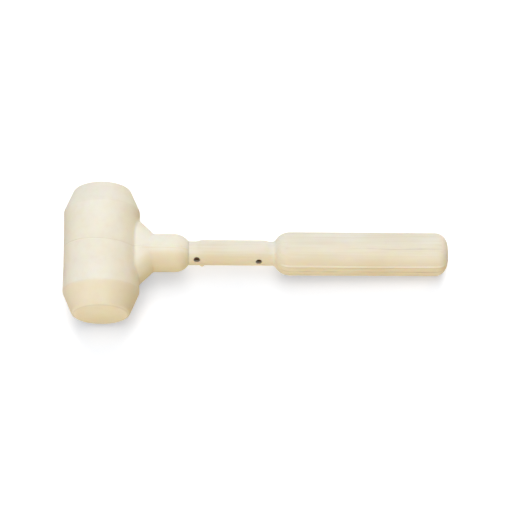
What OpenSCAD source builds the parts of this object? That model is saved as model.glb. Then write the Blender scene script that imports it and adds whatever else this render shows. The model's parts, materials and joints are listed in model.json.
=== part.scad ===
// Dead-blow mallet, lying on its side: the barrel and the end of the grip touch the surface.
// The head is a hollow casting round a steel canister of loose shot. The handle is a casting of
// its own round a steel core, and its shaft is bonded into the socket of the head's neck.
// The mallet's own frame has the handle along +X and the barrel along Y, where the two axes cross.

/* [Head casing] */
// Diameter of the barrel
head_d = 56.6; // [52:0.2:64]
// Length of the barrel between its two creases
barrel_len = 63.4; // [58:0.2:76]
// Length over the two striking faces
head_len = 98.8; // [90:0.4:116]
// Diameter of the flat on each striking face
face_d = 38.4; // [32:0.4:42]
// Radius between a taper and its striking face
face_round = 3; // [2:0.5:6]
// Width of the head's parting line
seam_w = 0.5; // [0.2:0.1:1]
// Depth of the head's parting line
seam_depth = 0.2; // [0.1:0.05:0.5]

/* [Neck] */
// Diameter of the neck
neck_d = 28.6; // [26:0.2:32]
// Distance from the barrel's axis to the corner where the flare leaves the neck
flare_start = 39; // [36:0.5:44]
// Angle of the flare's two arms from the neck
flare_angle = 45; // [35:1:52]
// Distance from the barrel's axis to the mouth of the neck
neck_reach = 64.8; // [60:0.2:76]
// Radius of the shoulder round the mouth
neck_round = 12.4; // [8:0.2:13]
// Width of the flat rim round the mouth
mouth_rim = 0.3; // [0.2:0.1:1]
// Casting left between the canister's collar and the floor of the socket
socket_wall = 6.6; // [2:0.2:10]

/* [Canister] */
// Outer diameter of the canister
can_d = 38; // [34:0.5:42]
// Casting left between an end of the canister and its striking face
face_wall = 13.4; // [8:0.2:16]
// Wall of the canister's tube
can_wall = 1.5; // [1:0.1:2.5]
// Thickness of the sheet of an end cap
cap_t = 1.5; // [1:0.1:2]
// Depth of an end cap over its skirt
cap_depth = 5; // [4:0.5:8]
// Outer diameter of the collar on the canister's side
collar_d = 17; // [15.5:0.5:19]
// Length of the collar, from the side of the canister
collar_len = 17; // [13:0.5:20]

/* [Shot] */
// Diameter of a steel ball
ball_d = 6.6; // [5:0.2:8]
// Gap between neighbouring balls
ball_gap = 0.2; // [0.1:0.05:0.5]
// Layers of balls along the barrel
ball_layers = 8; // [4:1:9]

/* [Core] */
// Outer diameter of the core tube
core_d = 12; // [10:0.5:13]
// Wall of the core tube
core_wall = 1.5; // [1:0.1:2.5]
// Diameter of the spring pin through the collar and the core
pin_d = 3; // [2:0.5:4]
// Wall of the spring pin
pin_wall = 0.5; // [0.3:0.1:0.8]
// Width of the spring pin's slot
pin_slot = 0.6; // [0.3:0.1:1]
// How far an end of the spring pin lies below the collar's surface
pin_inset = 1; // [0.2:0.1:1.4]
// Length of the plug inside the core
plug_len = 10; // [6:1:16]
// Thickness of the plug's head
plug_head = 2; // [1:0.5:4]

/* [Shaft] */
// Diameter of the shaft
shaft_d = 18; // [16:0.2:20]
// Length of the shaft from the mouth of the neck to the foot of the grip
shaft_len = 64.4; // [55:0.2:80]
// How far the printing field stands out of the shaft
pad_rise = 1; // [0.6:0.1:2]
// Plain shaft between the neck and the printing field
pad_from_neck = 5.4; // [2:0.2:12]
// Plain shaft between the printing field and the grip
pad_from_grip = 3.4; // [2:0.2:12]
// Length of the field's ramp towards the head
pad_ramp_head = 3.5; // [2:0.5:8]
// Length of the field's ramp towards the grip
pad_ramp_grip = 4; // [2:0.5:10]
// Diameter of the holes that the mould's core pins left
mark_d = 4.4; // [3:0.2:6]
// Distance of the first pin hole from the mouth of the neck
mark_from_neck = 6.5; // [4:0.5:16]
// Distance of the second pin hole from the foot of the grip
mark_from_grip = 11.5; // [4:0.5:20]
// Angle of the first pin hole from the handle's parting line
mark_turn_neck = 9; // [-20:1:20]
// Angle of the second pin hole from the handle's parting line
mark_turn_grip = -1.5; // [-20:0.5:20]
// Diameter of the stub that the casting gate left
gate_d = 2; // [1:0.1:3]
// How far the gate's stub stands out of the shaft
gate_rise = 0.6; // [0.3:0.1:1]
// Distance of the gate's stub from the mouth of the neck
gate_from_neck = 10.2; // [6:0.1:20]
// Angle of the gate's stub from the handle's parting line
gate_turn = -54; // [-70:1:-40]

/* [Grip] */
// Diameter of the grip
grip_d = 32.4; // [28:0.4:38]
// Length of the grip from its foot to its end
grip_len = 129.6; // [110:0.2:150]
// Radius of the shoulder at the front of the grip
shoulder_round = 12.7; // [8:0.1:13.5]
// Radius of the hollow between the shaft and the shoulder
throat_round = 3; // [1:0.5:5]
// Radius of the corner at the end of the grip
end_round = 9.5; // [5:0.5:13]
// Thickness of the casting between the plug and the end of the grip
end_wall = 18; // [8:1:30]
// Angle of the handle's parting line above the horizontal, seen along the handle
handle_roll = 32; // [0:1:80]
// Width of the lip along the handle's parting line
lip_w = 1.6; // [0.6:0.1:2]
// How far the lip stands out of the grip
lip_rise = 0.2; // [0.1:0.05:0.22]

/* [Fits] */
// Bond line between a casting and what it is cast round
bond_gap = 0.1; // [0.05:0.05:0.3]
// Gap between two steel pieces that are pressed or welded together
steel_gap = 0.05; // [0.02:0.01:0.1]

/* [Hidden] */
// Fineness of the circles, and of the many small balls
$fn = 96;
ball_fn = 48;

head_r = head_d / 2;
face_r = face_d / 2;
neck_r = neck_d / 2;
can_r = can_d / 2;
can_in_r = can_r - can_wall;
can_len = head_len - 2 * face_wall;
collar_r = collar_d / 2;
collar_end = can_r + collar_len;
core_r = core_d / 2;
core_in_r = core_r - core_wall;
shaft_r = shaft_d / 2;
grip_r = grip_d / 2;

// Length that every cut runs past the surface it opens
past = 1;
// Depth by which a round is set past the straight that it runs into, so that the two cross cleanly
bite = 0.02;

// Places along the handle, from the barrel's axis
socket_floor = collar_end + socket_wall;
grip_foot = neck_reach + shaft_len;
grip_end = grip_foot + grip_len;
plug_end = grip_end - end_wall;
core_start = can_r + steel_gap;
core_end = plug_end - plug_head;
pin_at = (can_r + collar_end) / 2;

// The striking face's round is a circle in the barrel's half section, and the taper runs from the
// crease to it. Points of a half section are [distance from the axis, place along the axis].
crease = [head_r, barrel_len / 2];
round_centre = [face_r, head_len / 2 - face_round];
crease_to_round = norm(round_centre - crease);
taper_from_r = face_round - bite;
taper_dir = atan2(round_centre[1] - crease[1], round_centre[0] - crease[0])
  - asin(taper_from_r / crease_to_round);
taper_len = sqrt(pow(crease_to_round, 2) - pow(taper_from_r, 2));
taper_end = crease + taper_len * [cos(taper_dir), sin(taper_dir)];

// The flare's arms are as thick as the neck, and their axes leave the neck's axis at flare_root
flare_root = flare_start - neck_r * tan(flare_angle / 2);
arm_len = (flare_root + neck_r * sin(flare_angle) - head_r + past) / cos(flare_angle);
arm_tip = [flare_root - arm_len * cos(flare_angle), arm_len * sin(flare_angle)];

// The neck's shoulder runs down to the rim of the mouth
mouth_r = shaft_r + bond_gap + mouth_rim;
mouth_rise = max(mouth_r - (neck_r - neck_round), 0);
neck_round_at = neck_reach - sqrt(pow(neck_round, 2) - pow(mouth_rise, 2));

// The shoulder of the grip meets the shaft at the foot, and a hollow round runs between the two
shoulder_r = grip_r - shoulder_round + bite;
shoulder_at = grip_foot + sqrt(pow(shoulder_round, 2) - pow(shaft_r - shoulder_r, 2));
throat_r = shaft_r + throat_round - bite;
throat_reach = shoulder_round + throat_round - bite;
throat_at = shoulder_at - sqrt(pow(throat_reach, 2) - pow(throat_r - shoulder_r, 2));
throat_end = [shoulder_r, shoulder_at]
  + shoulder_round / throat_reach * [throat_r - shoulder_r, throat_at - shoulder_at];
end_at = grip_end - end_round;

pad_start = neck_reach + pad_from_neck;
pad_end = grip_foot - pad_from_grip;

// Shot: layers of close-packed balls, every second layer set over the hollows of the one before
ball_pitch = ball_d + ball_gap;
layer_step = ball_pitch * sqrt(2 / 3);
layer_shift = ball_pitch / sqrt(3);
ball_reach = can_in_r - ball_d / 2 - 2 * ball_gap;
ball_rings = ceil(ball_reach / ball_pitch) + 1;

// Lying pose: the tilt at which the corner of the grip's end is as low as the barrel
end_drop = grip_r - end_round;
lie_angle = asin((head_r - end_round) / norm([end_at, end_drop])) - atan2(end_drop, end_at);
reach_x = end_at * cos(lie_angle) + end_drop * sin(lie_angle) + end_round;

module lying()
  translate([(head_r - reach_x) / 2, 0, head_r]) rotate([0, lie_angle, 0]) children();

// A half section turned about the handle's axis, and one turned about the barrel's axis
module about_handle() rotate([0, 90, 0]) rotate_extrude() children();
module about_barrel() rotate([-90, 0, 0]) rotate_extrude() children();

module rod_x(r, from, to)
  translate([from, 0, 0]) rotate([0, 90, 0]) cylinder(r = r, h = to - from);

module rod_y(r, from, to)
  translate([0, from, 0]) rotate([-90, 0, 0]) cylinder(r = r, h = to - from);

// Places children, which point along -Y, at an angle round the handle above the horizontal
module round_handle(angle) rotate([-angle, 0, 0]) children();

module barrel_half_section() {
  half = head_len / 2;
  for (side = [0, 1]) mirror([0, side])
    intersection() {
      square([head_r, half]);
      union() {
        polygon([
          [0, 0], [head_r, 0], crease, taper_end, round_centre, [face_r, half], [0, half]
        ]);
        translate(round_centre + [0, bite]) circle(face_round);
      }
    }
}

module neck_half_section(grow = 0, reach = neck_reach) {
  out_r = neck_r + grow;
  intersection() {
    square([out_r, reach]);
    union() {
      square([out_r, neck_round_at]);
      square([max(out_r - neck_round, bite), reach]);
      translate([out_r - neck_round + bite, neck_round_at]) circle(neck_round);
    }
  }
}

// Root of the neck: two arms as thick as the neck, run out sideways, with a flat web between them
module flare() {
  arm_r = neck_r - bite;
  for (side = [-1, 1])
    translate([flare_root, 0, 0])
      rotate([0, 0, side * (180 - flare_angle)]) rod_x(arm_r, 0, arm_len);
  translate([0, 0, bite - arm_r]) linear_extrude(2 * (arm_r - bite))
    polygon([[flare_root, 0], arm_tip, [arm_tip[0], -arm_tip[1]]]);
}

// Outline of the head in its parting plane, as deep as the bottom of the parting line
module seam_outline() {
  circle(head_r - seam_depth);
  for (side = [0, 1]) mirror([0, side])
    rotate(-90) mirror([1, 0]) neck_half_section(-seam_depth, neck_reach + past);
}

// Line that the two halves of the mould left round the barrel and along the neck
module parting_line()
  rotate([90, 0, 0]) linear_extrude(seam_w, center = true)
    difference() {
      translate([-head_d, -head_d]) square([neck_reach + 2 * head_d, 2 * head_d]);
      seam_outline();
    }

// Room for the steel in the head: the canister, with the dishes of its caps left filled, its collar,
// the core and the foot of the shaft
module head_cavity() {
  half = can_len / 2 + bond_gap;
  dish_r = can_in_r - steel_gap - cap_t - bond_gap;
  dish_floor = can_len / 2 - cap_depth + cap_t + bond_gap;
  difference() {
    rod_y(can_r + bond_gap, -half, half);
    for (side = [0, 1]) mirror([0, side, 0]) rod_y(dish_r, dish_floor, half + past);
  }
  rod_x(collar_r + bond_gap, 0, collar_end + bond_gap);
  rod_x(core_r + bond_gap, 0, neck_reach);
  rod_x(shaft_r + bond_gap, socket_floor - bond_gap, neck_reach + past);
}

module head_casing() color("#efe9d6") lying()
  difference() {
    union() {
      about_barrel() barrel_half_section();
      about_handle() neck_half_section();
      flare();
    }
    parting_line();
    head_cavity();
  }

module canister_tube() color("#9aa0a6") lying()
  difference() {
    rod_y(can_r, -can_len / 2, can_len / 2);
    rod_y(can_in_r, -can_len / 2 - past, can_len / 2 + past);
  }

// Dished cap, pressed into the tube with its skirt outwards
module canister_cap(side) {
  outer_r = can_in_r - steel_gap;
  floor_at = can_len / 2 - cap_depth;
  mirror([0, side, 0])
    difference() {
      rod_y(outer_r, floor_at, can_len / 2);
      rod_y(outer_r - cap_t, floor_at + cap_t, can_len / 2 + past);
    }
}

module canister_cap_front() color("#8d9399") lying() canister_cap(1);
module canister_cap_rear() color("#8d9399") lying() canister_cap(0);

// Loose charge of balls, as far as the canister's wall lets each layer spread
module steel_shot() color("#6f757b") lying()
  for (layer = [0 : ball_layers - 1], row = [-ball_rings : ball_rings], i = [-ball_rings : ball_rings]) {
    along = (layer - (ball_layers - 1) / 2) * layer_step;
    across = [
      ball_pitch * (i + row / 2),
      ball_pitch * row * sqrt(3) / 2 + (layer % 2) * layer_shift
    ];
    if (norm(across) <= ball_reach)
      translate([across[0], along, across[1]]) sphere(d = ball_d, $fn = ball_fn);
  }

// Hole through the collar and the core for the spring pin
module pin_hole() translate([pin_at, 0, 0]) rod_y(pin_d / 2 + steel_gap, -collar_r - past, collar_r + past);

module canister_collar() color("#9aa0a6") lying()
  difference() {
    rod_x(collar_r, 0, collar_end);
    rod_x(core_r + steel_gap, -past, collar_end + past);
    rod_y(can_r + steel_gap, -collar_d, collar_d);
    pin_hole();
  }

module core_tube() color("#7a6a58") lying()
  difference() {
    rod_x(core_r, core_start, core_end);
    rod_x(core_in_r, core_start - past, core_end + past);
    pin_hole();
  }

// Rolled pin with a slot along its side
module collar_pin() color("#5f6469") lying()
  translate([pin_at, 0, 0])
    difference() {
      rod_y(pin_d / 2, pin_inset - collar_r, collar_r - pin_inset);
      rod_y(pin_d / 2 - pin_wall, -collar_d, collar_d);
      translate([0, -collar_d, -pin_slot / 2]) cube([pin_d, 2 * collar_d, pin_slot]);
    }

module core_plug() color("#3b3b3b") lying() {
  rod_x(core_r, core_end, plug_end);
  rod_x(core_in_r - steel_gap, core_end - plug_len, core_end);
}

module grip_half_section(grow = 0) {
  out_r = grip_r + grow;
  out_end = grip_end + grow;
  intersection() {
    square([out_r, out_end]);
    union() {
      translate([shoulder_r, shoulder_at]) circle(shoulder_round + grow);
      translate([0, shoulder_at]) square([out_r, end_at - shoulder_at]);
      translate([end_drop + bite, end_at + bite]) circle(end_round + grow);
      translate([0, end_at]) square([end_drop, end_round + grow]);
    }
  }
}

module shaft_half_section() {
  translate([0, socket_floor]) square([shaft_r, shoulder_at - socket_floor]);
  difference() {
    polygon([[0, throat_at], [throat_r, throat_at], throat_end, [0, shoulder_at]]);
    translate([throat_r, throat_at]) circle(throat_round);
  }
}

// Field for printing: the shaft's own round, moved out to one side, with a ramp at each end. The ramps
// cross the surface of the shaft where the field starts and ends.
module printing_field() {
  inner_r = shaft_r - pad_rise;
  outer_r = shaft_r + 2 * pad_rise;
  intersection() {
    translate([0, -pad_rise, 0]) rod_x(shaft_r, pad_start - pad_ramp_head, pad_end + pad_ramp_grip);
    about_handle() polygon([
      [0, pad_start - pad_ramp_head], [inner_r, pad_start - pad_ramp_head],
      [outer_r, pad_start + 2 * pad_ramp_head], [outer_r, pad_end - 2 * pad_ramp_grip],
      [inner_r, pad_end + pad_ramp_grip], [0, pad_end + pad_ramp_grip]
    ]);
  }
}

// Raised line that the two halves of the mould left on both sides of the grip
module grip_lip()
  round_handle(handle_roll)
    linear_extrude(lip_w, center = true)
      for (side = [0, 1]) mirror([0, side])
        rotate(-90) mirror([1, 0]) grip_half_section(lip_rise);

// Holes that the mould's core pins left, in pairs on opposite sides, down to the core
module pin_marks()
  for (opposite = [0, 180]) {
    round_handle(handle_roll + mark_turn_neck + opposite)
      translate([neck_reach + mark_from_neck, 0, 0]) rod_y(mark_d / 2, -shaft_d, 0);
    round_handle(handle_roll + mark_turn_grip + opposite)
      translate([grip_foot - mark_from_grip, 0, 0]) rod_y(mark_d / 2, -shaft_d, 0);
  }

module gate_stub()
  round_handle(handle_roll + gate_turn)
    translate([neck_reach + gate_from_neck, 0, 0]) rod_y(gate_d / 2, -shaft_r - gate_rise, -core_r);

module handle_moulding() color("#ece4cb") lying()
  difference() {
    union() {
      about_handle() {
        shaft_half_section();
        grip_half_section();
      }
      round_handle(handle_roll + 90) printing_field();
      grip_lip();
      gate_stub();
    }
    pin_marks();
    rod_x(core_r + bond_gap, socket_floor - past, plug_end + bond_gap);
  }

head_casing();
canister_tube();
canister_cap_front();
canister_cap_rear();
steel_shot();
canister_collar();
core_tube();
collar_pin();
core_plug();
handle_moulding();
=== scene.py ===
import json
from math import asin, atan2, cos, hypot, pi, radians, sin, sqrt, tan

import bmesh
import bpy
from mathutils import Matrix, Quaternion, Vector, noise


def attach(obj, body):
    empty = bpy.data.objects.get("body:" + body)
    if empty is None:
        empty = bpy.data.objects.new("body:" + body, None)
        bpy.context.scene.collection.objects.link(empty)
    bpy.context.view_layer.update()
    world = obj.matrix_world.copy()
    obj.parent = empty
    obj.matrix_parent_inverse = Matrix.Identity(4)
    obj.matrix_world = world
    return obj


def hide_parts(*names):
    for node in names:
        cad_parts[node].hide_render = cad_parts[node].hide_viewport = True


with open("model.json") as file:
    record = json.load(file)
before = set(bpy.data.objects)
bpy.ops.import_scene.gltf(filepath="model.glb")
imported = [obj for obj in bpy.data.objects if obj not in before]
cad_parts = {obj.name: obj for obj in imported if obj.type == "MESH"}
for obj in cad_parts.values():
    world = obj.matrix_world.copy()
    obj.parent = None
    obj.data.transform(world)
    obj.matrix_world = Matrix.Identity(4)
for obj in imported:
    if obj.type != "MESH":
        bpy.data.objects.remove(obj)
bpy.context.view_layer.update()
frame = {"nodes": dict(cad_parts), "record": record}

# Canister: a drawn steel tube, two dished caps pressed into its ends and a turned collar on its
# side for the handle's core. It is welded shut round the loose shot before the head is cast.
mm = 0.001
steel_bright, steel_dull = (0.56, 0.57, 0.58, 1), (0.44, 0.44, 0.45, 1)
drawn_lines, drawn_detail, drawn_edge = (1.1 * mm, 16 * mm, 1.1 * mm), 3.0, (0.35, 0.7)
drawn_rough_least, drawn_rough_spread = 0.28, 0.2


class Socket:
    """One value of a node tree.

    Arithmetic on it adds a Math node, and add() adds any other node.
    """

    def __init__(self, tree, output):
        self.tree = tree
        self.output = output

    def add(self, kind, settings, inputs, out=0):
        node = self.tree.nodes.new(kind)
        for name, value in settings.items():
            setattr(node, name, value)
        for name, value in inputs.items():
            if isinstance(value, Socket):
                self.tree.links.new(value.output, node.inputs[name])
            else:
                node.inputs[name].default_value = value
        return Socket(self.tree, node.outputs[out]) if node.outputs else node

    def math(self, operation, first, second):
        return self.add("ShaderNodeMath", {"operation": operation}, {0: first, 1: second})

    def __add__(self, other):
        return self.math("ADD", self, other)

    def __sub__(self, other):
        return self.math("SUBTRACT", self, other)

    def __rsub__(self, other):
        return self.math("SUBTRACT", other, self)

    def __mul__(self, other):
        return self.math("MULTIPLY", self, other)

    __radd__ = __add__
    __rmul__ = __mul__


def new_material(name):
    """An empty material, and the Object coordinates of whatever wears it."""
    material = bpy.data.materials.new(name)
    material.use_nodes = True
    material.node_tree.nodes.clear()
    place = Socket(material.node_tree, None).add("ShaderNodeTexCoord", {}, {}, "Object")
    return material, place


def patches(place, size, detail, turn=(0, 0, 0)):
    """Soft random patches between 0 and 1, of a size along each way of the turned piece."""
    laid = place.add("ShaderNodeMapping", {"vector_type": "TEXTURE"},
                     {"Vector": place, "Rotation": turn, "Scale": size})
    return place.add("ShaderNodeTexNoise", {}, {"Vector": laid, "Scale": 1.0, "Detail": detail})


def part_of(value, low, high):
    """How far a value has gone from low to high, between 0 and 1."""
    limits = {"Value": value, "From Min": low, "From Max": high}
    return value.add("ShaderNodeMapRange", {"interpolation_type": "SMOOTHSTEP"}, limits)


def blend(share, first, second):
    colours = {0: share, 6: first, 7: second}
    return share.add("ShaderNodeMix", {"data_type": "RGBA"}, colours, 2)


def finish_with(material, shader):
    shader.add("ShaderNodeOutputMaterial", {}, {"Surface": shader})
    return material


def drawn_steel():
    material, place = new_material("canister_steel")
    lines = patches(place, drawn_lines, drawn_detail)
    shader = place.add("ShaderNodeBsdfPrincipled", {}, {
        "Base Color": blend(part_of(lines, *drawn_edge), steel_bright, steel_dull),
        "Roughness": drawn_rough_least + drawn_rough_spread * lines,
        "Metallic": 1.0,
    })
    return finish_with(material, shader)


def dress(node, material):
    mesh = frame["nodes"][node].data
    mesh.materials.clear()
    mesh.materials.append(material)


canister_steel = drawn_steel()
for node in ("canister_tube", "canister_cap_front", "canister_cap_rear", "canister_collar"):
    dress(node, canister_steel)

# Shot: loose tumbled steel balls, which fill most of the canister and slide in it at each blow.
# Every second layer of them lies over the hollows of the layer before.
ball_r, ball_pitch, ball_reach = 3.3 * mm, 6.8 * mm, 13.8 * mm
ball_layers, ball_rows, ball_rounding = 8, 4, 3
shot_dark, shot_grey = (0.3, 0.3, 0.31, 1), (0.46, 0.47, 0.48, 1)
scuffs, scuff_detail, scuff_edge = (1.4 * mm,) * 3, 4.0, (0.35, 0.65)
shot_rough_least, shot_rough_spread = 0.25, 0.3

mounts = {mount["name"]: mount for mount in frame["record"]["mounts"]}
barrel_middle = Vector(mounts["strike_face_front"]["pos_m"]) * Vector((1, 0, 1))
grip_axis = Vector(mounts["grip"]["axis"])
lie_angle = atan2(-grip_axis.z, grip_axis.x)
lying = Matrix.Translation(barrel_middle) @ Matrix.Rotation(lie_angle, 4, "Y")


def new_piece(name, bm, body, node, material):
    """Lays a piece down as the mallet lies, and lets it stand for its CAD node."""
    mesh = bpy.data.meshes.new(name)
    bm.to_mesh(mesh)
    bm.free()
    mesh.transform(lying)
    mesh.materials.append(material)
    piece = bpy.data.objects.new(name, mesh)
    bpy.context.scene.collection.objects.link(piece)
    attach(piece, body)
    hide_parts(node)
    return piece


def tumbled_steel():
    material, place = new_material("shot_steel")
    scuff = patches(place, scuffs, scuff_detail)
    shader = place.add("ShaderNodeBsdfPrincipled", {}, {
        "Base Color": blend(part_of(scuff, *scuff_edge), shot_dark, shot_grey),
        "Roughness": shot_rough_least + shot_rough_spread * scuff,
        "Metallic": 1.0,
    })
    return finish_with(material, shader)


balls = bmesh.new()
for layer in range(ball_layers):
    along = (layer - (ball_layers - 1) / 2) * ball_pitch * sqrt(2 / 3)
    shift = layer % 2 * ball_pitch / sqrt(3)
    for row in range(-ball_rows, ball_rows + 1):
        for column in range(-ball_rows, ball_rows + 1):
            across = ball_pitch * (column + row / 2)
            up = ball_pitch * row * sqrt(3) / 2 + shift
            if hypot(across, up) <= ball_reach:
                bmesh.ops.create_icosphere(balls, subdivisions=ball_rounding, radius=ball_r,
                                           matrix=Matrix.Translation((across, along, up)))
shot = new_piece("loose_shot", balls, "shot", "steel_shot", tumbled_steel())
shot.data.shade_smooth()

# Core: a welded steel tube down the middle of the handle, and the slotted spring pin that locks it
# in the canister's collar. Both are left as they came from the mill, brown and a little rusty.
core_brown, core_rust = (0.12, 0.08, 0.035, 1), (0.2, 0.11, 0.045, 1)
rust_spots, rust_detail, rust_edge = (4.5 * mm,) * 3, 5.0, (0.45, 0.62)
core_rough, rust_rougher = 0.6, 0.25
core_metal, rust_duller = 0.45, 0.4


def mill_steel():
    material, place = new_material("core_steel")
    rust = part_of(patches(place, rust_spots, rust_detail), *rust_edge)
    shader = place.add("ShaderNodeBsdfPrincipled", {}, {
        "Base Color": blend(rust, core_brown, core_rust),
        "Roughness": core_rough + rust_rougher * rust,
        "Metallic": core_metal - rust_duller * rust,
    })
    return finish_with(material, shader)


core_steel = mill_steel()
dress("core_tube", core_steel)
dress("collar_pin", core_steel)

# Core plug: a black plastic stopper, moulded, pushed into the end of the core before the handle is
# cast. It keeps the resin out of the tube.
plug_black, plug_worn = (0.022, 0.022, 0.023, 1), (0.05, 0.05, 0.05, 1)
plug_grain, plug_detail, plug_edge = (1.1 * mm,) * 3, 3.0, (0.4, 0.7)
plug_rough_least, plug_rough_spread = 0.45, 0.2


def plug_plastic():
    material, place = new_material("plug_plastic")
    grain = patches(place, plug_grain, plug_detail)
    shader = place.add("ShaderNodeBsdfPrincipled", {}, {
        "Base Color": blend(part_of(grain, *plug_edge), plug_black, plug_worn),
        "Roughness": plug_rough_least + plug_rough_spread * grain,
    })
    return finish_with(material, shader)


dress("core_plug", plug_plastic())

# Handle: cream polyurethane cast round the core in a mould of two halves, thin shaft and grip in
# one. The halves met at the lip along the grip, and the gate left a stub under the shaft. The pins
# that held the core left four holes.
foot_at, neck_mouth_at, throat_at = 42.6 * mm, 64.8 * mm, 127.45 * mm
end_at, grip_end = 249.3 * mm, 258.8 * mm
shaft_r, grip_r = 9.0 * mm, 16.2 * mm
throat_round, shoulder_round, end_round = 3.0 * mm, 12.7 * mm, 9.5 * mm
core_bore_r, plug_bore_end, overcut = 6.1 * mm, 240.9 * mm, 1 * mm
pin_hole_r, pin_hole_sides, pin_hole_reach = 2.3 * mm, 48, 12 * mm
pin_holes = ((71.05 * mm, radians(35)), (117.3 * mm, radians(24.5)))
foot_steps, gate_steps, shaft_steps, throat_steps = 4, 12, 66, 8
shoulder_steps, grip_steps, end_steps, cap_steps = 16, 72, 16, 8
handle_steps, bore_sides = 360, 96

# Marks of the mould.
wave_height, waves_along, waves_out = 0.05 * mm, 90, 185
pad_from, pad_to, pad_rise, pad_turn = 70.2 * mm, 126.0 * mm, 1.2 * mm, radians(122)
pad_ramp_head, pad_ramp_grip = 5.0 * mm, 5.2 * mm
gate_at, gate_turn, gate_rise, gate_zone = 75.0 * mm, radians(-22), 0.95 * mm, 2 * mm
gate_top_r, gate_foot_r = 0.84 * mm, 1.82 * mm
marks_from, marks_full = grip_r - 3.0 * mm, grip_r - 0.5 * mm
flash_edge, flash_back, nick_front = 0.3 * mm, 1.8 * mm, 1.3 * mm
lip_turn, lip_rise, lip_drop, lip_on_end = radians(30), 0.6 * mm, 0.15 * mm, 0.3
weld_turn, weld_from, weld_fade = radians(83), 176 * mm, 12 * mm
weld_depth, weld_half = 0.1 * mm, 0.5 * mm
weld_wander, weld_waves, weld_drift = 0.6 * mm, 45, (0.3, 7.7)

# Dirt and dark lines, painted shade, and a painted highlight.
full_line_share = 0.3
dirt_base, dirt_patches, dirt_shift, dirt_layer = 0.75, 120, 2.2, 5.1
# A darker line round the shaft at the neck's mouth.
neck_mouth_dark, neck_mouth_dark_half = 0.16, 0.6 * mm
# Patchy dirt and painted shade on the grip's round end.
end_dirt_and_shade, end_dirt_and_shade_from = 0.2, end_at + 3 * mm
# Painted shade in the pin holes, darker deeper down.
hole_shade, hole_shade_loss, hole_rim = 0.85, 0.5, 0.02 * mm
# Painted shadow in the nick under the lip.
nick_shadow, nick_shadow_at, nick_shadow_half = 0.22, -0.4 * mm, 0.5 * mm
weld_dirt, weld_dirt_fade = 0.22, 30 * mm
flow_dirt, flow_turn, flow_half = 0.32, radians(13.5), 0.7 * mm
# Painted front shade on the handle, and the half width of a painted highlight along the lip's
# crest.
lean_from_above, handle_lean, lip_highlight_half = 0.4, (0.25, 1.0), 0.9 * mm
sharpest_bend = radians(40)


def draw_from(place):
    """Starts an outline: the bmesh that it is drawn in, and the pen."""
    bm = bmesh.new()
    return bm, bm.verts.new(place)


def line_to(bm, pen, place, steps=1):
    start, stop = pen.co.copy(), Vector(place)
    for step in range(steps):
        pen = bmesh.ops.extrude_vert_indiv(bm, verts=[pen])["verts"][0]
        pen.co = start.lerp(stop, (step + 1) / steps)
    return pen


def arc_about(bm, pen, centre, turn, steps):
    drawn = bmesh.ops.spin(bm, geom=[pen], cent=centre, axis=(0, 0, 1), angle=turn, steps=steps)
    return drawn["geom_last"][0]


def turned(bm, axis, steps):
    """Spins the outline right round into a closed skin."""
    near = 0.001 * mm
    bmesh.ops.spin(bm, geom=bm.verts[:] + bm.edges[:], axis=axis, angle=2 * pi, steps=steps,
                   use_merge=True)
    on_axis = [vert for vert in bm.verts if vert.co.cross(Vector(axis)).length < near]
    bmesh.ops.remove_doubles(bm, verts=on_axis, dist=near)
    bmesh.ops.recalc_face_normals(bm, faces=bm.faces)


def ease(low, high, value):
    share = min(max((value - low) / (high - low), 0.0), 1.0)
    return share * share * (3 - 2 * share)


def turn_between(turn, other):
    return (turn - other + pi) % (2 * pi) - pi


def handle_place(along, turn, out):
    """A point beside the handle's axis, its turn counted upwards from the front."""
    return Vector((along, -out * cos(turn), out * sin(turn)))


def flash(over, rise, drop):
    """Where the mould's halves met: one side stands up in a ridge, with a fine nick before it."""
    on_ridge = ease(-flash_edge, flash_edge, over)
    ridge = rise * on_ridge * (1 - ease(flash_edge, flash_back, over))
    return ridge - drop * (1 - on_ridge) * ease(-nick_front, -flash_edge, over)


def soft_line(across, half):
    return 1 - ease(full_line_share * half, half, abs(across))


def weld_across(along, turn, out):
    """How far a point of the grip lies from the wandering weld line on its top."""
    wander = weld_wander * noise.noise(Vector((along * weld_waves, *weld_drift)))
    return turn_between(turn, weld_turn) * out + wander


def on_grip(out):
    """The marks of the grip start where its shoulder is nearly full size."""
    return ease(marks_from, marks_full, out)


def mould_marks(along, turn, out):
    """How far the cast surface stands off the plain turned one."""
    height = wave_height * noise.noise(handle_place(waves_along * along, turn, waves_out * out))
    if neck_mouth_at < along < throat_at:
        pad = pad_rise * ease(pad_from, pad_from + pad_ramp_head, along)
        pad *= 1 - ease(pad_to - pad_ramp_grip, pad_to, along)
        off_pad = turn_between(turn, pad_turn)
        if cos(off_pad) > 0:
            raised = pad * cos(off_pad) + sqrt(out ** 2 - (pad * sin(off_pad)) ** 2)
            height += max(raised - out, 0.0)
        from_gate = hypot(along - gate_at, turn_between(turn, gate_turn) * out)
        height += gate_rise * (1 - ease(gate_top_r, gate_foot_r, from_gate))
    if along > throat_at:
        fade = on_grip(out)
        if along > end_at:
            fade = max(fade, lip_on_end)
        height += fade * flash(out * sin(turn - lip_turn), lip_rise, lip_drop)
        weld = weld_depth * ease(weld_from, weld_from + weld_fade, along)
        weld *= 1 - ease(end_at, grip_end, along)
        height -= weld * soft_line(weld_across(along, turn, out), weld_half)
    return height


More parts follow.
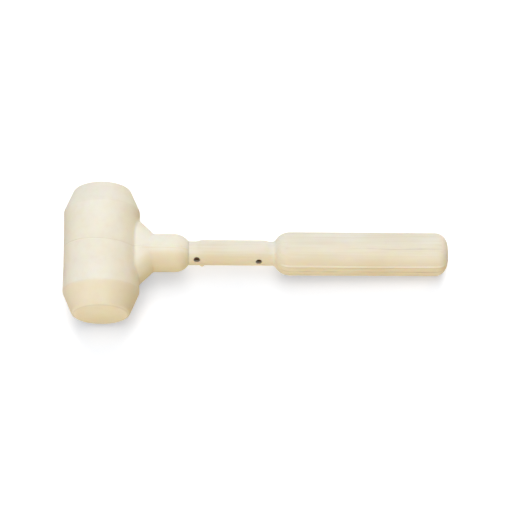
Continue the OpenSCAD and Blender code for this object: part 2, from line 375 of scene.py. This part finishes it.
def handle_dirt_and_shade(place, normal):
    """How dark a point is painted: a darker line at the neck's mouth, painted shade in the holes
    and under the lip, dirt in the weld and flow lines, and dirt with painted shade on the end.
    """
    along, turn, out = place.x, atan2(place.z, -place.y), hypot(place.y, place.z)
    patch = Vector((along * dirt_patches, place.y * dirt_patches + dirt_shift, dirt_layer))
    patchy = dirt_base + noise.noise(patch)
    # A darker line at the neck's mouth; patchy dirt and painted shade on the end.
    dirt_and_shade = neck_mouth_dark * soft_line(along - neck_mouth_at, neck_mouth_dark_half)
    dirt_and_shade += end_dirt_and_shade * patchy * ease(end_dirt_and_shade_from, grip_end, along)
    # Painted shade in the pin holes, darker deeper down.
    for hole_at, hole_turn in pin_holes:
        if hypot(along - hole_at, out * sin(turn - hole_turn)) < pin_hole_r + hole_rim:
            dirt_and_shade += hole_shade - hole_shade_loss * ease(core_bore_r, shaft_r, out)
    if out > shaft_r + throat_round:
        from_lip = turn_between(turn, lip_turn) * out
        from_flow = turn_between(turn, flow_turn) * out
        weld = weld_dirt * ease(weld_from, weld_from + weld_dirt_fade, along) * patchy
        # Painted shadow under the lip; dirt in the weld and flow lines.
        dirt_and_shade += nick_shadow * on_grip(out) * soft_line(from_lip - nick_shadow_at, nick_shadow_half)
        dirt_and_shade += weld * soft_line(weld_across(along, turn, out), weld_half)
        dirt_and_shade += flow_dirt * on_grip(out) * patchy * soft_line(from_flow, flow_half)
    return dirt_and_shade


def front_shade_share(normal, lean_from, lean_full):
    """How much painted shade a casting takes, as a yellower tan: most where its skin leans to the
    front.
    """
    return ease(lean_from, lean_full, -normal.y + lean_from_above * (1 - normal.z))


def handle_front_shade(place, normal):
    """Painted front shade, with a painted highlight left pale along the crest of the lip."""
    turn, out = atan2(place.z, -place.y), hypot(place.y, place.z)
    # The lip's crest is left out of the painted front shade: a painted highlight.
    from_crest = turn_between(turn, lip_turn) * out - lip_highlight_half
    return front_shade_share(normal, *handle_lean) * (1 - on_grip(out) * soft_line(from_crest, lip_highlight_half))


def rod(bm, start, stop, radius, sides):
    """Adds a round bar between two points."""
    run = stop - start
    pointed = run.to_track_quat("Z", "Y").to_matrix().to_4x4()
    bmesh.ops.create_cone(bm, cap_ends=True, segments=sides, radius1=radius, radius2=radius,
                          depth=run.length, matrix=Matrix.Translation((start + stop) / 2) @ pointed)


def shaped(piece, kind, **settings):
    """Applies one modifier to a piece."""
    modifier = piece.modifiers.new(kind.lower(), kind)
    for name, value in settings.items():
        setattr(modifier, name, value)
    plain = piece.data
    modified = piece.evaluated_get(bpy.context.evaluated_depsgraph_get())
    piece.data = bpy.data.meshes.new_from_object(modified)
    piece.modifiers.clear()
    bpy.data.meshes.remove(plain)


def cut_out(piece, bm):
    """Cuts one closed shape, drawn in the mallet's own place, out of a piece."""
    mesh = bpy.data.meshes.new("cutter")
    bm.to_mesh(mesh)
    bm.free()
    mesh.transform(lying)
    cutter = bpy.data.objects.new("cutter", mesh)
    bpy.context.scene.collection.objects.link(cutter)
    shaped(piece, "BOOLEAN", operation="DIFFERENCE", object=cutter, solver="MANIFOLD")
    bpy.data.objects.remove(cutter)
    bpy.data.meshes.remove(mesh)


def drill(piece, start, stop, radius, sides):
    bm = bmesh.new()
    rod(bm, Vector(start), Vector(stop), radius, sides)
    cut_out(piece, bm)


def paint(piece, name, amount_at):
    """Keeps on each point of a piece how much of something its surface shows there."""
    upright = lying.inverted()
    upright_turn = upright.to_3x3()
    amounts = [amount_at(upright @ vert.co, upright_turn @ vert.normal)
               for vert in piece.data.vertices]
    piece.data.attributes.new(name, "FLOAT", "POINT").data.foreach_set("value", amounts)


def smooth_all(piece):
    piece.data.shade_smooth()
    piece.data.set_sharp_from_angle(angle=sharpest_bend)


# Brown of the dirt and painted shade in lines, creases and holes; tan and strength of the painted
# shade where the skin leans to the front.
dirt_and_shade_brown, front_shade_tan, front_shade_strength = (0.3, 0.21, 0.11, 1), (0.75, 0.61, 0.36, 1), 0.35
cloud_share, cloud_detail, cloud_edge = 0.55, 2.0, (0.3, 0.7)
vein_share, vein_detail, vein_edge = 0.45, 4.0, (0.4, 0.75)
pores, pore_detail, pore_strength, pore_depth = (2.8 * mm,) * 3, 3.0, 0.35, 0.08 * mm
pimples, pimple_detail, pimple_share = (0.5 * mm,) * 3, 2.0, 0.3
cream_rough_least, cream_rough_spread, cream_shine = 0.48, 0.16, 0.3
cream_glow, cream_glow_radius, cream_glow_depth = 1.0, (1.0, 0.7, 0.35), 1.0 * mm


def cast_cream(name, pale, deep, clouds, veins, turn=(0, 0, 0)):
    """Cream polyurethane: cloudy and veined, with painted shade towards the front, dirt and painted
    shade in its lines, creases and holes, and a satin, pored skin.
    """
    material, place = new_material(name)
    cloudy = cloud_share * part_of(patches(place, clouds, cloud_detail, turn), *cloud_edge)
    veined = vein_share * part_of(patches(place, veins, vein_detail, turn), *vein_edge)
    # Painted front shade, kept on each point as an attribute.
    shaded = place.add("ShaderNodeAttribute", {"attribute_name": "painted_front_shade"}, {}, "Fac")
    # Dirt and painted shade, kept on each point as an attribute.
    dirt_and_shade = place.add("ShaderNodeAttribute", {"attribute_name": "dirt_and_shade"}, {}, "Fac")
    cream = blend(front_shade_strength * shaded, blend(cloudy + veined, pale, deep), front_shade_tan)
    skin = patches(place, pores, pore_detail)
    relief = skin + pimple_share * patches(place, pimples, pimple_detail)
    shader = place.add("ShaderNodeBsdfPrincipled", {}, {
        "Base Color": blend(dirt_and_shade, cream, dirt_and_shade_brown),
        "Roughness": cream_rough_least + cream_rough_spread * skin,
        "Specular IOR Level": cream_shine,
        "Normal": place.add("ShaderNodeBump", {}, {
            "Strength": pore_strength, "Distance": pore_depth, "Height": relief}),
        "Subsurface Weight": cream_glow,
        "Subsurface Radius": cream_glow_radius,
        "Subsurface Scale": cream_glow_depth,
    })
    return finish_with(material, shader)


handle_pale, handle_deep = (0.84, 0.78, 0.63, 1), (0.76, 0.67, 0.48, 1)
handle_clouds, handle_veins = (50 * mm, 16 * mm, 16 * mm), (70 * mm, 1.4 * mm, 1.4 * mm)
handle_cream = cast_cream("handle_cream", handle_pale, handle_deep, handle_clouds, handle_veins,
                          turn=(0, lie_angle, 0))

shoulder_r = grip_r - shoulder_round
throat_rise = asin((shaft_r + throat_round - shoulder_r) / (throat_round + shoulder_round))
throat_turn = pi / 2 - throat_rise
shoulder_at = throat_at + (throat_round + shoulder_round) * cos(throat_rise)
outline, pen = draw_from((foot_at, 0, 0))
pen = line_to(outline, pen, (foot_at, shaft_r, 0))
pen = line_to(outline, pen, (neck_mouth_at, shaft_r, 0), foot_steps)
pen = line_to(outline, pen, (gate_at - gate_zone, shaft_r, 0), gate_steps)
pen = line_to(outline, pen, (gate_at + gate_zone, shaft_r, 0), gate_steps)
pen = line_to(outline, pen, (throat_at, shaft_r, 0), shaft_steps)
pen = arc_about(outline, pen, (throat_at, shaft_r + throat_round, 0), throat_turn, throat_steps)
pen = arc_about(outline, pen, (shoulder_at, shoulder_r, 0), -throat_turn, shoulder_steps)
pen = line_to(outline, pen, (end_at, grip_r, 0), grip_steps)
pen = arc_about(outline, pen, (end_at, grip_r - end_round, 0), -pi / 2, end_steps)
pen = line_to(outline, pen, (grip_end, 0, 0), cap_steps)
turned(outline, (1, 0, 0), handle_steps)
outline.normal_update()
for vert in outline.verts:
    if vert.co.x > neck_mouth_at:
        turn, out = atan2(vert.co.z, -vert.co.y), hypot(vert.co.y, vert.co.z)
        vert.co += vert.normal * mould_marks(vert.co.x, turn, out)
handle = new_piece("handle_casting", outline, "mallet", "handle_moulding",
                   handle_cream)
drill(handle, (foot_at - overcut, 0, 0), (plug_bore_end, 0, 0), core_bore_r, bore_sides)
for along, turn in pin_holes:
    drill(handle, handle_place(along, turn, pin_hole_reach),
          handle_place(along, turn + pi, pin_hole_reach), pin_hole_r, pin_hole_sides)
# Dirt and painted shade on each point of the handle.
paint(handle, "dirt_and_shade", handle_dirt_and_shade)
# Painted front shade on each point of the handle.
paint(handle, "painted_front_shade", handle_front_shade)
smooth_all(handle)

# Head: cream polyurethane cast round the canister in one piece with its neck, and bonded to the
# shaft. The parting line of its own mould runs round the barrel and along the top of the neck.
crease_r, waist, barrel_half, crease_soft = 28.55 * mm, 0.5 * mm, 31.7 * mm, 0.8 * mm
face_half, face_r, face_round, taper_rounds = 49.4 * mm, 19.2 * mm, 3.0 * mm, 4
barrel_steps, bow_steps, edge_steps, ring_near = 256, 24, 8, 0.02 * mm
neck_r, neck_from, neck_steps, neck_rows = 14.3 * mm, 8.0 * mm, 192, 12
neck_round_at, neck_round, neck_round_turn, neck_round_rows = 54.2 * mm, 13.4 * mm, radians(62), 20
flare_root, flare_angle, arm_len = 33.08 * mm, radians(45), 22.5 * mm
skin_voxel, skin_rounds, skin_pull = 0.6 * mm, 5, 0.5
canister_r, canister_half, cavity_steps = 19.1 * mm, 36.1 * mm, 128
dish_r, dish_floor = 15.9 * mm, 32.6 * mm
collar_bore_r, collar_from, collar_to = 8.6 * mm, 15.0 * mm, 36.1 * mm
socket_r, socket_lap, socket_clear, socket_sides = 9.1 * mm, 0.1 * mm, 80 * mm, 192

# Its parting line.
seam_cuts = (-2.0, -1.3, -0.8, -0.4, -0.2, 0.0, 0.2, 0.5, 0.9, 1.3)
seam_cut_near = 0.06 * mm
barrel_seam_depth, barrel_seam_half = 0.1 * mm, 0.45 * mm
neck_seam_rise, neck_seam_drop, neck_seam_start = 0.22 * mm, 0.15 * mm, (24 * mm, 30 * mm)
seam_uneven, seam_waves = 0.5, 110
seam_off, seam_skew = 0.6 * mm, 0.055
seam_straight, seam_pull = (20 * mm, 27 * mm), (2 * mm, 20 * mm)

# Dirt and dark lines, painted shade, and striking faces painted lighter towards the top.
seam_dirt, seam_dirt_at, seam_dirt_half = 0.07, 0.15 * mm, 0.5 * mm
seam_dirt_base, seam_dirt_swing, seam_dirt_patches, seam_dirt_layer = 0.55, 1.6, 130, 1.3
# A darker line round the edge of each striking face.
face_edge_dark, face_edge_out, face_edge_half, face_edge_y = 0.14, 1.0 * mm, 0.9 * mm, (48 * mm, 49 * mm)
# Darker at the neck's mouth, where it meets the shaft.
mouth_dark, mouth_dark_x = 0.12, (63.9 * mm, 64.6 * mm)
# Painted shade in the crease round the root of the neck.
root_shade, root_half, root_x, root_y = 0.1, 1.0 * mm, (0.0, 5 * mm), (22 * mm, 30 * mm)
root_lean = (0.93, 0.99)
# Painted shade along the crease between the barrel and each taper.
crease_shade, crease_half, crease_x = 0.03, 0.7 * mm, (26 * mm, 28 * mm)
# Painted front shade on the head, deeper on the neck.
head_lean, neck_extra_shade, neck_extra_shade_x = (0.05, 0.5), 0.3, (30 * mm, 40 * mm)
# The striking faces are painted lighter towards the top, darker towards the bottom.
face_lit_share, face_lit_y, face_lit_z = 0.9, (47.5 * mm, 49 * mm), (-14 * mm, 8 * mm)

# The taper leans less the wider its round edge is, so the two are worked out in turns.
taper_turn = pi / 2 - atan2(crease_r - face_r, face_half - barrel_half)
for _ in range(taper_rounds):
    corner_r = face_r + face_round * tan(taper_turn / 2)
    taper_turn = pi / 2 - atan2(crease_r - corner_r, face_half - barrel_half)
bow = (barrel_half ** 2 + waist ** 2) / (2 * waist)
outline, pen = draw_from((0, -face_half, 0))
pen = line_to(outline, pen, (corner_r, -face_half, 0))
pen = line_to(outline, pen, (crease_r, -barrel_half, 0))
bow_turn = -2 * asin(barrel_half / bow)
pen = arc_about(outline, pen, (crease_r - waist + bow, 0, 0), bow_turn, bow_steps)
pen = line_to(outline, pen, (corner_r, face_half, 0))
pen = line_to(outline, pen, (0, face_half, 0))
turned(outline, (0, 1, 0), barrel_steps)


def on_ring(edge, ring_r, ring_y):
    """Tells if an edge of the barrel lies on a ring of this radius, at the front or the rear."""
    return all(abs(hypot(vert.co.x, vert.co.z) - ring_r) < ring_near
               and abs(abs(vert.co.y) - ring_y) < ring_near for vert in edge.verts)


face_soft = face_round * tan(taper_turn / 2)
rings = ((corner_r, face_half, face_soft), (crease_r, barrel_half, crease_soft))
for ring_r, ring_y, soft in rings:
    ring = [edge for edge in outline.edges if on_ring(edge, ring_r, ring_y)]
    bmesh.ops.bevel(outline, geom=ring, offset=soft, affect="EDGES", segments=edge_steps,
                    profile=0.5, material=-1)
barrel = bpy.data.meshes.new("barrel")
outline.to_mesh(barrel)
outline.free()

outline, pen = draw_from((neck_from, 0, 0))
pen = line_to(outline, pen, (neck_from, neck_r, 0))
pen = line_to(outline, pen, (neck_round_at, neck_r, 0), neck_rows)
pen = arc_about(outline, pen, (neck_round_at, neck_r - neck_round, 0), -neck_round_turn,
                neck_round_rows)
pen = line_to(outline, pen, (pen.co.x, 0, 0))
turned(outline, (1, 0, 0), neck_steps)
root = Vector((flare_root, 0, 0))
arm_tips = [root + arm_len * Vector((-cos(flare_angle), side * sin(flare_angle), 0))
            for side in (-1, 1)]
for tip in arm_tips:
    rod(outline, root, tip, neck_r, neck_steps)
web_floor = [outline.verts.new(corner - Vector((0, 0, neck_r))) for corner in (root, *arm_tips)]
web = outline.faces.new(web_floor)
lifted = bmesh.ops.extrude_face_region(outline, geom=[web])["geom"]
web_roof = [part for part in lifted if isinstance(part, bmesh.types.BMVert)]
bmesh.ops.translate(outline, verts=web_roof, vec=(0, 0, 2 * neck_r))
outline.from_mesh(barrel)
bmesh.ops.recalc_face_normals(outline, faces=outline.faces)
bpy.data.meshes.remove(barrel)


def seam_slide(along):
    """The halves of the mould met a little askew across the barrel."""
    return (seam_off - seam_skew * along) * (1 - ease(*seam_straight, along))


def head_dirt_and_shade(place, normal):
    """How dark a point is painted: dirt on the parting line, painted shade in the creases, and
    darker lines round the faces and at the mouth.
    """
    patch = Vector((place.x * seam_dirt_patches, place.z * seam_dirt_patches, seam_dirt_layer))
    patchy = max(seam_dirt_base + seam_dirt_swing * noise.noise(patch), 0.0)
    from_seam = place.y - seam_slide(place.x) - seam_dirt_at
    radial = Vector((place.x, 0, place.z))
    # A darker line round the edge of each striking face.
    face_edge = soft_line(hypot(place.x, place.z) - face_r - face_edge_out, face_edge_half)
    face_edge *= ease(*face_edge_y, abs(place.y))
    # Painted shade in the crease round the neck's root.
    root_edge = soft_line(radial.length - crease_r, root_half) * ease(*root_x, place.x)
    root_edge *= 1 - ease(*root_lean, normal.dot(radial.normalized()))
    root_edge *= 1 - ease(*root_y, abs(place.y))
    # Painted shade along the crease between the barrel and each taper.
    crease = soft_line(abs(place.y) - barrel_half, crease_half) * (1 - ease(*crease_x, place.x))
    dirt_and_shade = seam_dirt * patchy * soft_line(from_seam, seam_dirt_half)
    dirt_and_shade += face_edge_dark * face_edge + mouth_dark * ease(*mouth_dark_x, place.x)
    return dirt_and_shade + root_shade * root_edge + crease_shade * crease


def head_front_shade(place, normal):
    """Painted front shade, deeper on the neck than on the barrel; the striking faces are painted
    lighter towards the top.
    """
    face_lit = ease(*face_lit_y, abs(place.y)) * ease(*face_lit_z, place.z)
    shaded = front_shade_share(normal, *head_lean) * (1 - face_lit_share * face_lit)
    return shaded * (1 + neck_extra_shade * ease(*neck_extra_shade_x, place.x))


head_pale, head_deep = (0.86, 0.8, 0.65, 1), (0.83, 0.75, 0.575, 1)
head_clouds, head_veins = (22 * mm,) * 3, (6 * mm,) * 3
head_cream = cast_cream("head_cream", head_pale, head_deep, head_clouds, head_veins)

head = new_piece("head_casting", outline, "mallet", "head_casing", head_cream)
head.data.transform(lying.inverted())
shaped(head, "REMESH", mode="VOXEL", voxel_size=skin_voxel, adaptivity=0.0)
skin = bmesh.new()
skin.from_mesh(head.data)
for _ in range(skin_rounds):
    bmesh.ops.smooth_vert(skin, verts=skin.verts, factor=skin_pull,
                          use_axis_x=True, use_axis_y=True, use_axis_z=True)
for cut in seam_cuts:
    bmesh.ops.bisect_plane(skin, geom=skin.verts[:] + skin.edges[:] + skin.faces[:],
                           dist=seam_cut_near, plane_co=(0, cut * mm, 0), plane_no=(0, 1, 0),
                           use_snap_center=True)
skin.normal_update()
for vert in skin.verts:
    along, across = vert.co.x, vert.co.y
    on_neck = ease(*neck_seam_start, along)
    groove = -barrel_seam_depth * soft_line(across, barrel_seam_half)
    lip = flash(-across, neck_seam_rise, neck_seam_drop)
    uneven = 1 + seam_uneven * noise.noise(vert.co * seam_waves)
    vert.co += vert.normal * uneven * (groove + (lip - groove) * on_neck)
    vert.co.y += seam_slide(along) * (1 - ease(*seam_pull, abs(across)))
skin.to_mesh(head.data)
skin.free()
head.data.transform(lying)

outline, pen = draw_from((0, -dish_floor, 0))
cavity = ((dish_r, -dish_floor), (dish_r, -canister_half), (canister_r, -canister_half),
          (canister_r, canister_half), (dish_r, canister_half), (dish_r, dish_floor),
          (0, dish_floor))
for out, along in cavity:
    pen = line_to(outline, pen, (out, along, 0))
turned(outline, (0, 1, 0), cavity_steps)
cut_out(head, outline)
drill(head, (collar_from, 0, 0), (collar_to, 0, 0), collar_bore_r, bore_sides)
drill(head, (collar_from, 0, 0), (foot_at + overcut, 0, 0), core_bore_r, bore_sides)
drill(head, (foot_at - socket_lap, 0, 0), (socket_clear, 0, 0), socket_r, socket_sides)
head.data.materials.clear()
head.data.materials.append(head_cream)
# Dirt and painted shade on each point of the head.
paint(head, "dirt_and_shade", head_dirt_and_shade)
# Painted front shade on each point of the head.
paint(head, "painted_front_shade", head_front_shade)
smooth_all(head)

# Studio: a plain pale floor that runs white at the camera and keeps the mallet's shadow. Wide soft
# boxes hang overhead and stand round the table; a box's colour is what a white sheet shows in it.
floor_cream, floor_white_tint = (0.54, 0.44, 0.22, 1), (0.97, 0.86, 0.71, 1)
floor_lift_tint, floor_reach = (0.245, 0.33, 0.435, 1), 3.0
room_dim, wall_white = (0.03, 0.03, 0.03, 1), (1, 1, 1, 1)
box_width = radians(40)
soft_boxes = {
    "overhead_box": ((0, 0, 1), (0.42, 0.47, 0.57)),
    "back_box": ((0, 0.643, 0.766), (0.51, 0.52, 0.545)),
    "front_box": ((0, -0.99, 0.139), (0.455, 0.42, 0.33)),
    "left_box": ((-0.692, -0.692, 0.208), (0.315, 0.295, 0.295)),
    "right_box": ((0.978, 0, 0.208), (0.165, 0.115, 0.04)),
}


def seen_directly(socket):
    """1 for what the camera, a mirror or glass shows, 0 for what only lights the scene."""
    kinds = [socket.add("ShaderNodeLightPath", {}, {}, kind)
             for kind in ("Is Camera Ray", "Is Glossy Ray", "Is Transmission Ray")]
    return socket.math("MAXIMUM", socket.math("MAXIMUM", kinds[0], kinds[1]), kinds[2])


floor_bm = bmesh.new()
bmesh.ops.create_grid(floor_bm, x_segments=1, y_segments=1, size=floor_reach)
floor_mesh = bpy.data.meshes.new("floor")
floor_bm.to_mesh(floor_mesh)
floor_bm.free()
floor = bpy.data.objects.new("floor", floor_mesh)
bpy.context.scene.collection.objects.link(floor)
floor_white, place = new_material("floor_white")
cream_paper = place.add("ShaderNodeBsdfDiffuse", {}, {"Color": floor_cream})
white_paper = place.add("ShaderNodeBsdfDiffuse", {}, {"Color": floor_white_tint})
lift = place.add("ShaderNodeEmission", {}, {"Color": floor_lift_tint})
lifted_paper = place.add("ShaderNodeAddShader", {}, {0: white_paper, 1: lift})
paper = place.add("ShaderNodeMixShader", {},
                  {0: seen_directly(place), 1: cream_paper, 2: lifted_paper})
floor_mesh.materials.append(finish_with(floor_white, paper))

world = bpy.data.worlds.new("room")
world.use_nodes = True
world.node_tree.nodes.clear()
room = Socket(world.node_tree, None)
room_light = room.add("ShaderNodeBackground", {}, {"Color": room_dim})
white_wall = room.add("ShaderNodeBackground", {}, {"Color": wall_white})
shown = room.add("ShaderNodeMixShader", {}, {0: seen_directly(room), 1: room_light, 2: white_wall})
room.add("ShaderNodeOutputWorld", {}, {"Surface": shown})
bpy.context.scene.world = world

for name, (seen_at, colour) in soft_boxes.items():
    lamp = bpy.data.lights.new(name, "SUN")
    lamp.energy = pi
    lamp.color = colour
    lamp.angle = box_width
    box = bpy.data.objects.new(name, lamp)
    box.rotation_mode = "QUATERNION"
    box.rotation_quaternion = Vector(seen_at).to_track_quat("Z", "Y")
    bpy.context.scene.collection.objects.link(box)

# Camera: a long lens, high in front of the mallet and almost square to it. It looks at the middle
# of the mallet, about as high above the floor as the handle's axis lies.
view_height, view_side, view_roll = radians(68.281), radians(0.406), radians(-1.075)
view_distance, lens, sensor = 1800 * mm, 168.75, 36
aim = Vector((-0.037 * mm, 0, 17.935 * mm))
back = Vector((sin(view_side) * cos(view_height), -cos(view_side) * cos(view_height),
               sin(view_height)))
camera_data = bpy.data.cameras.new("camera")
camera_data.lens = lens
camera_data.sensor_width = sensor
camera = bpy.data.objects.new("camera", camera_data)
camera.location = aim + back * view_distance
camera.rotation_mode = "QUATERNION"
camera.rotation_quaternion = back.to_track_quat("Z", "Y") @ Quaternion((0, 0, 1), view_roll)
bpy.context.scene.collection.objects.link(camera)
bpy.context.scene.camera = camera
bpy.context.scene.view_settings.view_transform = "Standard"
